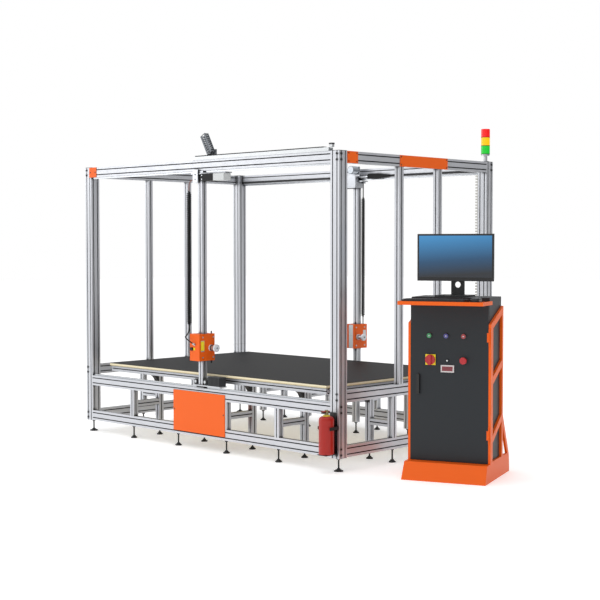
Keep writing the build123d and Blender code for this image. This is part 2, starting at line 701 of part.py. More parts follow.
with BuildPart(CABINET) as cabinet_shell:
    inner = CAB_HALF - WALL - SEAM
    for x in (-CAB_HALF, CAB_HALF - WALL):
        block((x, x + WALL), (DOOR_BACK, CAB_BACK), (PLINTH, CAB_TOP))
    block((-inner, inner), (DOOR_BACK, CAB_BACK), (PLINTH, PLINTH + WALL))
    block((-inner, inner), (DOOR_BACK, CAB_BACK), (CAB_TOP - WALL, CAB_TOP))
    upright = (PLINTH + WALL + SEAM, CAB_TOP - WALL - SEAM)
    block((-inner, inner), (CAB_BACK - WALL, CAB_BACK), upright)
    # raised box behind the keyboard that carries the monitor
    block((-CAB_HALF, CAB_HALF), (CAB_FRONT + DOOR, CAB_BACK), (CAB_TOP + SEAM, TOP_BOX))
save(cabinet_shell, "cabinet_shell")

HINGE_X = CAB_HALF + 4
HINGE_Y = CAB_FRONT - 4
HINGE_R = 4
HINGES = (300, 930)
KNUCKLE = 60
SIDE_THICK = 16
FRAME_FRONT = CAB_FRONT + 52            # back edge of the front upright
FRAME_REAR = CAB_BACK - 30              # front edge of the rear upright
FRAME_TOP_FRONT = 1015                  # the top bar rises from here
FRAME_TOP_REAR = 1122                   # to here at the back
BAND = 46                               # height of a sloping bar, measured upright
BRACES = [(270, 385), (650, 745)]       # middle of each sloping bar, front and rear
FOOT_BACK = 300                         # where the rear strut meets the plinth
STRUT_TOP = 400
with BuildPart(CABINET) as side_frames:
    slope = (FRAME_TOP_REAR - FRAME_TOP_FRONT) / (CAB_BACK - CAB_FRONT)
    outline = [
        (CAB_FRONT, PLINTH),
        (FOOT_BACK, PLINTH),
        (CAB_BACK, STRUT_TOP),
        (CAB_BACK, FRAME_TOP_REAR),
        (CAB_FRONT, FRAME_TOP_FRONT),
    ]
    sill = PLINTH + 12
    front_edges = [sill]
    rear_edges = [sill]
    for front, rear in BRACES:
        front_edges += [front - BAND / 2, front + BAND / 2]
        rear_edges += [rear - BAND / 2, rear + BAND / 2]
    front_edges.append(FRAME_TOP_FRONT + slope * (FRAME_FRONT - CAB_FRONT) - BAND)
    rear_edges.append(FRAME_TOP_FRONT + slope * (FRAME_REAR - CAB_FRONT) - BAND)
    for x in (-CAB_HALF - SIDE_THICK, CAB_HALF):
        with BuildSketch(side_plane(x)) as plate:
            Polygon(*outline, align=None)
            for i in range(0, len(front_edges), 2):
                Polygon(
                    (FRAME_FRONT, front_edges[i]),
                    (FRAME_REAR, rear_edges[i]),
                    (FRAME_REAR, rear_edges[i + 1]),
                    (FRAME_FRONT, front_edges[i + 1]),
                    align=None,
                    mode=Mode.SUBTRACT,
                )
            Polygon(
                (CAB_BACK, sill),
                (FOOT_BACK - 45, sill),
                (CAB_BACK, STRUT_TOP - 74),
                align=None,
                mode=Mode.SUBTRACT,
            )
        extrude(plate.sketch, amount=SIDE_THICK)
    # fixed halves of the door hinges, above and below each moving knuckle
    for z in HINGES:
        for end in (-1, 1):
            middle = z + end * (KNUCKLE / 2 + 13)
            rod((HINGE_X, HINGE_Y, middle), HINGE_R, 24, "Z")
            block((CAB_HALF + 1, CAB_HALF + 8), (HINGE_Y, CAB_FRONT + 5), (middle - 12, middle + 12))
save(side_frames, "side_frames")

# places on the door: across and up, in the cabinet's own axes
BUTTON_Z = 934
BUTTONS = {"start_button": -133, "pause_button": -19, "stop_button": 98}
SWITCH = (-125, 777)
STATUS_LAMP = (-11, 774)
ESTOP = (99, 777)
METER = (-10, 721)
HANDLE = (-209, 616)
HOLES = [(x, BUTTON_Z, 12) for x in BUTTONS.values()]
HOLES += [(*SWITCH, 9), (*ESTOP, 10), (*HANDLE, 7)]
HALF_DOOR = CAB_HALF - 1

with BuildPart(CABINET) as cabinet_door:
    block((-HALF_DOOR, HALF_DOOR), (CAB_FRONT, CAB_FRONT + DOOR), (PLINTH + 2, CAB_TOP - 2))
    skin = 2
    block(
        (-HALF_DOOR + skin, HALF_DOOR - skin),
        (CAB_FRONT + skin, CAB_FRONT + DOOR),
        (PLINTH + 2 + skin, CAB_TOP - 2 - skin),
        Mode.SUBTRACT,
    )
    for x, z, radius in HOLES:
        rod((x, CAB_FRONT + 1, z), radius, 4, "Y", Mode.SUBTRACT)
save(cabinet_door, "cabinet_door")

with BuildPart(CABINET) as panel_fittings:
    for x in BUTTONS.values():
        rod((x, CAB_FRONT - 2, BUTTON_Z), 16, 4, "Y")
        rod((x, CAB_FRONT - 2, BUTTON_Z), 12, 4, "Y", Mode.SUBTRACT)
    block((SWITCH[0] - 34, SWITCH[0] + 34), (CAB_FRONT - 4, CAB_FRONT), (SWITCH[1] - 34, SWITCH[1] + 34))
    rod((SWITCH[0], CAB_FRONT - 2, SWITCH[1]), 9, 4, "Y", Mode.SUBTRACT)
    rod((ESTOP[0], CAB_FRONT - 2, ESTOP[1]), 24, 4, "Y")
    rod((ESTOP[0], CAB_FRONT - 2, ESTOP[1]), 10, 4, "Y", Mode.SUBTRACT)
    rod((STATUS_LAMP[0], CAB_FRONT - 4, STATUS_LAMP[1]), 8, 8, "Y")
    block((METER[0] - 44, METER[0] + 44), (CAB_FRONT - 6, CAB_FRONT), (METER[1] - 23, METER[1] + 23))
    # moving halves of the two hinges on the right edge
    for z in HINGES:
        rod((HINGE_X, HINGE_Y, z), HINGE_R, KNUCKLE, "Z")
        block((CAB_HALF - 10, HINGE_X), (HINGE_Y, CAB_FRONT), (z - KNUCKLE / 2, z + KNUCKLE / 2))
save(panel_fittings, "panel_fittings")

for name, x in BUTTONS.items():
    with BuildPart(CABINET) as button:
        rod((x, CAB_FRONT - 1, BUTTON_Z), 12 - GAP, 18, "Y")
    save(button, name)

with BuildPart(CABINET) as emergency_stop:
    rod((ESTOP[0], CAB_FRONT - 2, ESTOP[1]), 10 - GAP, 20, "Y")
    rod((ESTOP[0], CAB_FRONT - 19, ESTOP[1]), 23, 14, "Y")
    fillet(emergency_stop.edges().filter_by(GeomType.CIRCLE).sort_by(OUTWARD)[-1], 4)
save(emergency_stop, "emergency_stop")

with BuildPart(CABINET) as main_switch:
    rod((SWITCH[0], CAB_FRONT - 1, SWITCH[1]), 9 - GAP, 12, "Y")
    rod((SWITCH[0], CAB_FRONT - 11, SWITCH[1]), 33, 12, "Y")
    block((SWITCH[0] - 9, SWITCH[0] + 9), (CAB_FRONT - 29, CAB_FRONT - 17), (SWITCH[1] - 33, SWITCH[1] + 33))
save(main_switch, "main_switch")

with BuildPart(CABINET) as door_handle:
    block((HANDLE[0] - 11, HANDLE[0] + 11), (CAB_FRONT - 18, CAB_FRONT - 1), (HANDLE[1] - 65, HANDLE[1] + 65))
    fillet(door_handle.edges().filter_by(OUTWARD), 8)
    rod((HANDLE[0], CAB_FRONT + 2, HANDLE[1]), 7 - GAP, 6, "Y")
save(door_handle, "door_handle")

with BuildPart(CABINET) as control_gear:
    # back plate with motor drives, power supply, terminal rail and computer
    board = CAB_BACK - 16
    back = board - SEAM
    block((-220, 220), (board, board + 4), (440, 1080))
    for i in range(4):
        x = -160 + i * 100
        block((x - 36, x + 36), (back - 90, back), (860, 1040))
    block((-190, 30), (back - 70, back), (680, 800))
    block((60, 200), (back - 50, back), (700, 740))
    block((-200, 200), (-60, 110), (PLINTH + WALL, PLINTH + WALL + 240))
save(control_gear, "control_gear")

# ----------------------------------------------------------- desk and computer
DESK = 1164
SHELF_BACK = CAB_FRONT + DOOR - SEAM
with BuildPart(CABINET) as keyboard_shelf:
    block((-282, 282), (-377, SHELF_BACK), (CAB_TOP + 1, DESK))
    block((-276, 276), (-371, SHELF_BACK), (DESK - 6, DESK), Mode.SUBTRACT)
save(keyboard_shelf, "keyboard_shelf")

with BuildPart(CABINET) as keyboard:
    block((-262, 152), (-352, -222), (DESK - 6, DESK + 12))
    fillet(keyboard.edges().filter_by(Axis.Z), 6)
save(keyboard, "keyboard")

with BuildPart(CABINET) as mouse:
    block((180, 240), (-330, -226), (DESK - 6, DESK + 24))
    fillet(mouse.edges().filter_by(Axis.Z), 22)
    fillet(mouse.faces().sort_by(Axis.Z)[-1].edges(), 12)
save(mouse, "mouse")

SCREEN_X = -13
SCREEN_LOW = 1285
SCREEN_WIDE = 522
SCREEN_TALL = 311
TILT = (48, SCREEN_LOW + 155)           # tilt axis: depth and height
NECK = 60                               # front face of the monitor's neck
LUG = 12                                # half width of the monitor's hinge lug
PIN = 4
with BuildPart(CABINET) as monitor_stand:
    block((SCREEN_X - 110, SCREEN_X + 110), (-90, 100), (TOP_BOX, TOP_BOX + 10))
    block((SCREEN_X - 45, SCREEN_X + 45), (NECK, NECK + 14), (TOP_BOX + 10, TILT[1] + 12))
    rod((SCREEN_X, NECK + 7, SCREEN_LOW - 25), 20, 16, "Y", Mode.SUBTRACT)
    # two ears and the tilt pin
    for s in (-1, 1):
        ear = (SCREEN_X + s * (LUG + GAP), SCREEN_X + s * (LUG + 10))
        block(ear, (TILT[0] - 6, NECK), (TILT[1] - 10, TILT[1] + 10))
    rod((SCREEN_X, *TILT), PIN, 2 * LUG + 12, "X")
save(monitor_stand, "monitor_stand")

with BuildPart(CABINET) as monitor:
    half = SCREEN_WIDE / 2
    block((SCREEN_X - half, SCREEN_X + half), (0, 14), (SCREEN_LOW, SCREEN_LOW + SCREEN_TALL))
    block((SCREEN_X - 190, SCREEN_X + 190), (14, 30), (SCREEN_LOW + 30, SCREEN_LOW + SCREEN_TALL - 30))
    block((SCREEN_X - 40, SCREEN_X + 40), (30, 36), (TILT[1] - 40, TILT[1] + 40))
    block((SCREEN_X - LUG, SCREEN_X + LUG), (36, TILT[0]), (TILT[1] - 8, TILT[1] + 8))
    rod((SCREEN_X, *TILT), 8, 2 * LUG, "X")
    rod((SCREEN_X, *TILT), PIN + 0.05, 2 * LUG + 2, "X", Mode.SUBTRACT)
save(monitor, "monitor")
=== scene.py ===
"""Looks of an open-frame hot-wire foam cutter and its control cabinet."""

from math import cos, pi, radians, sin

import bpy
from mathutils import Matrix, Vector


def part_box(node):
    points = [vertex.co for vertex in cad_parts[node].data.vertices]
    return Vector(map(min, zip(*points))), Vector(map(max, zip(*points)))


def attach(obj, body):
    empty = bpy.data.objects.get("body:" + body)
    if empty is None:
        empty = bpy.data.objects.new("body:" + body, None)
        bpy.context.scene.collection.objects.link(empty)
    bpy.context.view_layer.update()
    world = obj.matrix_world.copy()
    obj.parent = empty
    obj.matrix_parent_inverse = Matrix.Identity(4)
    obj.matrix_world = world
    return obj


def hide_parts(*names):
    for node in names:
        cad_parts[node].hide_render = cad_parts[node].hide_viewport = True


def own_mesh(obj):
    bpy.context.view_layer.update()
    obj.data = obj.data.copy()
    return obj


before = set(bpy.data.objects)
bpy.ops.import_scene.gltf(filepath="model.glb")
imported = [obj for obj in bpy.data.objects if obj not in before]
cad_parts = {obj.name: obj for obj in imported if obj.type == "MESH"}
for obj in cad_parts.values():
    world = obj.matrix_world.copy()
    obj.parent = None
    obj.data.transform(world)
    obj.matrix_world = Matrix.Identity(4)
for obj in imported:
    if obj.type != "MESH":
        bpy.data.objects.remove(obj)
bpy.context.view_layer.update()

# ------------------------------------------------------------------ floor, light, camera
# A plain pale studio floor that runs far back and is slightly lit from below, so that it
# blends into the white backdrop. Soft light comes from the room and from two large panels.
# The camera stands at the front right corner of the machine, at chest height.


def linear(hex_colour):
    """sRGB hex colour as the linear RGBA that a shader takes."""
    channels = [int(hex_colour[i:i + 2], 16) / 255 for i in (1, 3, 5)]
    rgb = [c / 12.92 if c <= 0.04045 else ((c + 0.055) / 1.055) ** 2.4 for c in channels]
    return (*rgb, 1.0)


def add_node(material, kind, settings=None, inputs=None):
    """Add one shader node; a value that is an output socket is linked, any other is set."""
    tree = material.node_tree
    node = tree.nodes.new(kind)
    for key, value in (settings or {}).items():
        setattr(node, key, value)
    for key, value in (inputs or {}).items():
        if isinstance(value, bpy.types.NodeSocket):
            tree.links.new(value, node.inputs[key])
        else:
            node.inputs[key].default_value = value
    return node


def new_material(name, colour, roughness, metallic=0.0, **more):
    """A surface with one plain colour; more sets the shader's other sockets by name."""
    material = bpy.data.materials.new(name)
    material.use_nodes = True
    shader = material.node_tree.nodes["Principled BSDF"]
    shader.inputs["Base Color"].default_value = linear(colour)
    shader.inputs["Roughness"].default_value = roughness
    shader.inputs["Metallic"].default_value = metallic
    for key, value in more.items():
        shader.inputs[key.replace("_", " ")].default_value = value
    return material


def shader_of(material):
    return material.node_tree.nodes["Principled BSDF"]


def link(material, output, socket):
    material.node_tree.links.new(output, shader_of(material).inputs[socket])


corner_low, corner_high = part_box("corner_posts")
MACHINE = Matrix.Translation((corner_low[0], corner_low[1], 0.0))
machine_long = corner_high[0] - corner_low[0]
machine_deep = corner_high[1] - corner_low[1]
machine_top = corner_high[2]

floor_mesh = bpy.data.meshes.new("studio_floor")
floor_reach = 40.0
floor_mesh.from_pydata(
    [(-floor_reach, -floor_reach, 0), (floor_reach, -floor_reach, 0),
     (floor_reach, floor_reach, 0), (-floor_reach, floor_reach, 0)],
    [],
    [(0, 1, 2, 3)],
)
studio_floor = bpy.data.objects.new("studio_floor", floor_mesh)
bpy.context.collection.objects.link(studio_floor)
floor_colour = "#FBFBFB"
floor_glow = 0.3
floor_mesh.materials.append(new_material(
    "softly lit white floor", floor_colour, 0.8,
    Emission_Color=linear(floor_colour), Emission_Strength=floor_glow,
))

world = bpy.data.worlds.new("soft white studio")
bpy.context.scene.world = world
world.use_nodes = True
bpy.context.scene.view_settings.view_transform = "Standard"

# the studio is bright above and on the left, and dimmer on the right and behind
direction = add_node(world, "ShaderNodeTexCoord")
bright_side = add_node(
    world, "ShaderNodeVectorMath", {"operation": "DOT_PRODUCT"},
    {0: direction.outputs["Generated"], 1: (-0.42, -0.5, 0.76)},
)
falloff = add_node(
    world, "ShaderNodeMapRange", None,
    {"Value": bright_side.outputs["Value"], "From Min": -0.9, "From Max": 0.9,
     "To Min": 0.08, "To Max": 1.08},
)
soft_light = world.node_tree.nodes["Background"]
world.node_tree.links.new(falloff.outputs["Result"], soft_light.inputs["Strength"])
soft_light.inputs["Color"].default_value = linear("#FFFFFF")
backdrop = add_node(world, "ShaderNodeBackground", None, {"Color": linear("#FFFFFF"), "Strength": 1.0})
seen_by = add_node(world, "ShaderNodeLightPath")
chosen = add_node(
    world, "ShaderNodeMixShader", None,
    {0: seen_by.outputs["Is Camera Ray"],
     1: soft_light.outputs["Background"],
     2: backdrop.outputs["Background"]},
)
world_output = world.node_tree.nodes["World Output"]
world.node_tree.links.new(chosen.outputs["Shader"], world_output.inputs["Surface"])


def light_panel(name, place, target, size, power):
    """Large square panel of soft white light, turned to its target."""
    data = bpy.data.lights.new(name, "AREA")
    data.shape = "SQUARE"
    data.size = size
    data.energy = power
    panel = bpy.data.objects.new(name, data)
    bpy.context.collection.objects.link(panel)
    panel.location = place
    panel.rotation_euler = (Vector(target) - Vector(place)).to_track_quat("-Z", "Y").to_euler()


light_panel("overhead_panel", (0.5, -0.5, 6.0), (0, 0, 0.5), 5.0, 70)
light_panel("left_panel", (-5.5, -5.0, 3.6), (0, 0, 1.0), 3.0, 60)

camera = bpy.data.objects.new("camera", bpy.data.cameras.new("camera"))
bpy.context.collection.objects.link(camera)
camera.data.lens = 76.47
camera.data.sensor_width = 36
camera.data.shift_x = -0.0263
camera.data.shift_y = -0.0045
camera.location = MACHINE @ Vector((8.600, -6.199, 1.519))
camera.rotation_euler = (radians(87.674), 0, radians(43.995))
bpy.context.scene.camera = camera

# ------------------------------------------------------------------ frame bars
# The open frame is bolted from T-slot bars. They are aluminium, pressed hot through a die
# and clear anodised, so they are pale and satin, with shade painted dark into the slots along their
# length.


def extruded(name, colour, roughness):
    """Clear anodised extrusion: slight patches of duller oxide, and painted shade that darkens the
    slots.
    """
    material = new_material(name, colour, roughness, metallic=0.8)
    where = add_node(material, "ShaderNodeTexCoord")
    patch_mm = 60
    patches = add_node(
        material, "ShaderNodeTexNoise", {"noise_dimensions": "3D"},
        {"Vector": where.outputs["Object"], "Scale": 1000 / patch_mm, "Detail": 3.0},
    )
    duller = add_node(
        material, "ShaderNodeMapRange", None,
        {"Value": patches.outputs["Fac"], "From Min": 0.3, "From Max": 0.7,
         "To Min": roughness - 0.04, "To Max": roughness + 0.06},
    )
    link(material, duller.outputs["Result"], "Roughness")
    # painted shade: the base colour turns near black where ambient occlusion finds the deep, narrow
    # slots, into which little light gets
    slot_mm = 25
    open_sky = add_node(
        material, "ShaderNodeAmbientOcclusion", {"samples": 8}, {"Distance": slot_mm / 1000},
    )
    painted_slot_shade = add_node(
        material, "ShaderNodeMapRange", None,
        {"Value": open_sky.outputs["AO"], "From Min": 0.45, "From Max": 0.95,
         "To Min": 0.0, "To Max": 1.0},
    )
    tone = add_node(
        material, "ShaderNodeMix", {"data_type": "RGBA"},
        {"Factor": painted_slot_shade.outputs["Result"], "A": linear("#0E0F12"), "B": linear(colour)},
    )
    link(material, tone.outputs["Result"], "Base Color")
    return material


def dress(node, material):
    """Give a CAD node its real finish."""
    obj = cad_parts[node]
    obj = obj if isinstance(obj, bpy.types.Object) else bpy.data.objects[node]
    obj.data.materials.clear()
    obj.data.materials.append(material)
    return obj


bar_aluminium = extruded("clear anodised aluminium bar", "#C8CACF", 0.4)
for node in ("corner_posts", "top_beams", "middle_rails", "lower_rails", "studs"):
    dress(node, bar_aluminium)


def box(x, y, z):
    """Corners and faces of a box between two values on each axis, in millimetres."""
    points = [(a, b, c) for a in x for b in y for c in z]
    faces = [(0, 1, 3, 2), (4, 6, 7, 5), (0, 4, 5, 1), (2, 3, 7, 6), (0, 2, 6, 4), (1, 5, 7, 3)]
    return points, faces


def turned(profile, start, along, sides=32):
    """Round solid from (distance, radius) pairs along an axis, in millimetres."""
    axis = Vector(along).normalized()
    first = axis.orthogonal().normalized()
    second = axis.cross(first)
    points = []
    for distance, radius in profile:
        for i in range(sides):
            angle = 2 * pi * i / sides
            offset = first * (radius * cos(angle)) + second * (radius * sin(angle))
            points.append(tuple(Vector(start) + axis * distance + offset))
    faces = [tuple(range(sides - 1, -1, -1))]
    for ring in range(len(profile) - 1):
        low, high = ring * sides, (ring + 1) * sides
        for i in range(sides):
            j = (i + 1) % sides
            faces.append((low + i, low + j, high + j, high + i))
    last = (len(profile) - 1) * sides
    faces.append(tuple(range(last, last + sides)))
    return points, faces


def rod(start, end, radius, sides=32):
    run = Vector(end) - Vector(start)
    return turned([(0, radius), (run.length, radius)], start, run, sides)


def make_piece(name, solids, material, body, place=MACHINE, edge=0.0):
    """One object from several solids in millimetres, placed, riding on a body."""
    points, faces = [], []
    for solid_points, solid_faces in solids:
        base = len(points)
        points += [tuple(c / 1000 for c in p) for p in solid_points]
        faces += [tuple(base + i for i in face) for face in solid_faces]
    mesh = bpy.data.meshes.new(name)
    mesh.from_pydata(points, [], faces)
    mesh.shade_smooth()
    mesh.set_sharp_from_angle(angle=radians(35))
    mesh.materials.append(material)
    obj = bpy.data.objects.new(name, mesh)
    bpy.context.collection.objects.link(obj)
    obj.matrix_world = place
    if edge:
        rounding = obj.modifiers.new("rounded edges", "BEVEL")
        rounding.width = edge / 1000
        rounding.segments = 2
        rounding.limit_method = "ANGLE"
    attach(obj, body)
    return obj


LONG, DEEP, TOP = machine_long * 1000, machine_deep * 1000, machine_top * 1000
POST, BEAM = 80, 80
black_abs = new_material("black moulded ABS", "#1B1C1E", 0.42)
post_caps = []
for x in (0, LONG - POST):
    for y in (0, DEEP - POST):
        post_caps.append(box((x + 1, x + POST - 1), (y + 1, y + POST - 1), (TOP, TOP + 3)))
make_piece("post_end_caps", post_caps, black_abs, "frame", edge=1.0)

# ------------------------------------------------------------------ table
# Legs and cross bars are the same extrusion, stiffened by curved cast brackets painted black.
# On them lies a plywood board whose pale edge shows its plies, covered by a thin rubber mat.
dress("table_legs", bar_aluminium)
dress("table_frame", bar_aluminium)
cast_black = new_material("black painted aluminium casting", "#151617", 0.48)
dress("leg_braces", cast_black)

PLY_MM = 1.5


def plywood():
    """Sanded birch plywood: pale faces, and light and dark plies along the cut edge."""
    material = new_material("sanded birch plywood", "#EADFBE", 0.62)
    where = add_node(material, "ShaderNodeTexCoord")
    plies = add_node(
        material, "ShaderNodeTexWave",
        {"wave_type": "BANDS", "bands_direction": "Z", "wave_profile": "SIN"},
        {"Vector": where.outputs["Object"], "Scale": 1000 / PLY_MM / 40, "Distortion": 0.4},
    )
    tone = add_node(
        material, "ShaderNodeMix", {"data_type": "RGBA"},
        {"Factor": plies.outputs["Fac"], "A": linear("#D8C79A"), "B": linear("#F2E9CC")},
    )
    link(material, tone.outputs["Result"], "Base Color")
    return material


dress("table_board", plywood())


def rubber_mat():
    """Black calendered rubber with a fine pebbled face that shines only a little."""
    material = new_material("black pebbled rubber", "#0B0C0E", 0.55, Specular_IOR_Level=0.15)
    where = add_node(material, "ShaderNodeTexCoord")
    pebble_mm = 6
    pebbles = add_node(
        material, "ShaderNodeTexNoise", None,
        {"Vector": where.outputs["Object"], "Scale": 1000 / pebble_mm, "Detail": 2.0},
    )
    relief = add_node(
        material, "ShaderNodeBump", None,
        {"Height": pebbles.outputs["Fac"], "Strength": 0.25, "Distance": 0.0008},
    )
    link(material, relief.outputs["Normal"], "Normal")
    return material


dress("table_mat", rubber_mat())

# ------------------------------------------------------------------ feet and bolts
# Every leg stands on a threaded foot with a moulded black nylon pad, and socket-head bolts
# hold the rails to the posts. Stems and bolts are blackened steel; other fittings are zinc plated.
zinc = new_material("bright zinc plate", "#C3C6C9", 0.3, metallic=1.0)
dark_steel = new_material("blackened steel screw", "#0C0C0E", 0.4)
dress("levelling_pads", new_material("black nylon foot", "#202123", 0.5))
dress("frame_fasteners", dark_steel)

# ------------------------------------------------------------------ orange sheet covers
# Folded steel sheet in orange powder coat covers the drive and the beam ends. The coat is
# satin with a faint orange peel, and blackened button-head screws hold it on.


def powder_coat(name, colour, roughness=0.42):
    """Baked powder coat: even colour and a faint orange peel of about three millimetres."""
    material = new_material(name, colour, roughness, Specular_IOR_Level=0.3)
    where = add_node(material, "ShaderNodeTexCoord")
    peel_mm = 3
    peel = add_node(
        material, "ShaderNodeTexNoise", None,
        {"Vector": where.outputs["Object"], "Scale": 1000 / peel_mm, "Detail": 1.0},
    )
    relief = add_node(
        material, "ShaderNodeBump", None,
        {"Height": peel.outputs["Fac"], "Strength": 0.12, "Distance": 0.0004},
    )
    link(material, relief.outputs["Normal"], "Normal")
    return material


orange_coat = powder_coat("orange powder coat", "#EA5F02")
dress("orange_covers", orange_coat)
SHEET = 3
BUTTON_HEAD = [(0, 5.5), (1.6, 5.0), (3, 2.6)]
INSET = 12
screws = []
for x, z in ((1126, 280), (1680, 280), (72, TOP - 40), (138, TOP - 40)):
    screws.append(turned(BUTTON_HEAD, (x, -SHEET, z), (0, -1, 0), 20))
for y0, y1 in ((80, 184), (622, 1154)):
    for y in (y0 + INSET, y1 - INSET):
        for z in (TOP - BEAM + INSET, TOP - INSET):
            screws.append(turned(BUTTON_HEAD, (LONG + SHEET, y, z), (1, 0, 0), 20))
make_piece("cover_screws", screws, dark_steel, "frame")

# ------------------------------------------------------------------ tray, riser, guides, belts
# The cables run in a galvanised tray, in which a black energy chain lies, and climb one post
# in a slotted grey duct. Ground steel guides and toothed belts run along the beams.
galvanised = new_material("galvanised sheet", "#C9CCCE", 0.4, metallic=0.85)
dress("chain_tray", galvanised)
dress("cable_riser", new_material("grey rigid PVC duct", "#C4C3BD", 0.5))
dress("guide_rails", new_material("ground bearing steel", "#B4B7BB", 0.22, metallic=1.0))
dress("drive_belts", new_material("black polyurethane belt", "#1A1A1B", 0.6))
CHAIN_START, LINK, LINKS = 1365, 30, 44
chain_links = []
for i in range(LINKS):
    x = CHAIN_START + i * LINK
    chain_links.append(box((x + 2, x + 25), (1, 39), (TOP + 4, TOP + 33)))
    chain_links.append(box((x + 25, x + 32), (6, 34), (TOP + 6, TOP + 26)))
make_piece("energy_chain", chain_links, black_abs, "frame", edge=2.0)

# silver end stub and black cap where the tray stops above the right-hand post
tray_end = LONG - POST
make_piece(
    "tray_end_stub", [box((tray_end - 14, tray_end + 14), (2, 24), (TOP + 26, TOP + 44))],
    galvanised, "frame", edge=0.8,
)
make_piece(
    "tray_end_cap", [box((tray_end - 16, tray_end + 16), (1, 25), (TOP + 44, TOP + 54))],
    black_abs, "frame", edge=1.0,
)

# ------------------------------------------------------------------ signal lamp
# A stack of three round lamp modules on a short tube. The lenses are clear tinted
# polycarbonate, lit from within by a small lamp.
brushed_tube = new_material("brushed aluminium tube", "#C6C8CC", 0.32, metallic=1.0)
dress("lamp_pole", brushed_tube)


def lens_plastic(name, colour, glow):
    """Tinted polycarbonate: glossy, deep in colour, faintly lit from inside."""
    material = new_material(name, colour, 0.22, IOR=1.45, Coat_Weight=0.2)
    shader = shader_of(material)
    shader.inputs["Emission Color"].default_value = linear(colour)
    shader.inputs["Emission Strength"].default_value = glow
    return material


for node, colour in (("green_lens", "#14B82E"), ("amber_lens", "#F5B800"), ("red_lens", "#E01010")):
    dress(node, lens_plastic("clear " + node.replace("_", " ") + " plastic", colour, 0.35))
lens_low, lens_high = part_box("green_lens")
lamp_x = (lens_low[0] + lens_high[0]) / 2 * 1000 - corner_low[0] * 1000
lamp_y = (lens_low[1] + lens_high[1]) / 2 * 1000 - corner_low[1] * 1000
SEAM_RING = [(0, 33.6), (4, 33.6)]
seams = []
for i in range(3):
    z = (lens_low[2] + i * (lens_high[2] - lens_low[2])) * 1000
    seams.append(turned(SEAM_RING, (lamp_x, lamp_y, z - 2), (0, 0, 1), 48))
make_piece("lamp_seams", seams, black_abs, "frame")

# ------------------------------------------------------------------ fire extinguisher
# A small pressed steel cylinder in glossy red enamel, held on the front right post. It has a
# cast valve, a black squeeze lever and a yellow ring round its neck.
red_enamel = new_material("glossy red enamel", "#A3180C", 0.3, Specular_IOR_Level=0.4)
dress("extinguisher", red_enamel)
dress("extinguisher_bracket", new_material("black powder coat", "#18191A", 0.45))
ext_low, ext_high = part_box("extinguisher")
ext_x = ((ext_low[0] + ext_high[0]) / 2 - corner_low[0]) * 1000
ext_y = -64
ext_z = ext_low[2] * 1000
yellow_ring = new_material("yellow moulded neck ring", "#E2C838", 0.4)
make_piece(
    "extinguisher_ring",
    [turned([(0, 22), (2, 24), (9, 24), (11, 20)], (ext_x, ext_y, ext_z + 253), (0, 0, 1), 48)],
    yellow_ring, "extinguisher",
)
cast_valve = new_material("dull cast valve body", "#8A8564", 0.4, metallic=0.6)
valve_profile = [(0, 14), (10, 14), (12, 17), (20, 17), (22, 12), (33, 12)]
make_piece(
    "extinguisher_valve",
    [turned(valve_profile, (ext_x, ext_y, ext_z + 264), (0, 0, 1))],
    cast_valve, "extinguisher",
)
make_piece(
    "extinguisher_lever",
    [box((ext_x - 9.5, ext_x + 9.5), (ext_y - 41, ext_y + 25), (ext_z + 275.5, ext_z + 286.5))],
    black_abs, "extinguisher", edge=1.0,
)

# ------------------------------------------------------------------ towers
# Each tower is one slotted column between a lower and an upper trolley. The trolley plates
# are milled aluminium; the shoes and gearboxes are black, and the motors are cast and ribbed.
# the milled plates take the bar finish, painted shade in their recesses included
milled_plate = extruded("milled aluminium plate", "#C6C9CE", 0.3)
black_anodised = new_material("black anodised aluminium", "#08090A", 0.5, Specular_IOR_Level=0.25)
motor_black = new_material("black motor enamel", "#25272B", 0.4)
motor_grey = new_material("light grey cast motor paint", "#C9CCCC", 0.45)
front_low, front_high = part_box("front_column")
rear_low, rear_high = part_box("rear_column")
FRONT_X = ((front_low[0] + front_high[0]) / 2 - corner_low[0]) * 1000
REAR_X = ((rear_low[0] + rear_high[0]) / 2 - corner_low[0]) * 1000
BASE_Z = front_low[2] * 1000
CAP_Z = front_high[2] * 1000
GEARBOX, GEARBOX_END, UPPER_REACH = 52, 162, 284
RIBS, RIB_PITCH, RIB = 9, 14, 8


def inwards(side, distance):
    """Depth of a point measured in from the front face, or from the rear face."""
    return distance if side == "front" else DEEP - distance


def depths(side, near, far):
    """Two depths measured in from the front or rear face, smaller value first."""
    return sorted((inwards(side, near), inwards(side, far)))


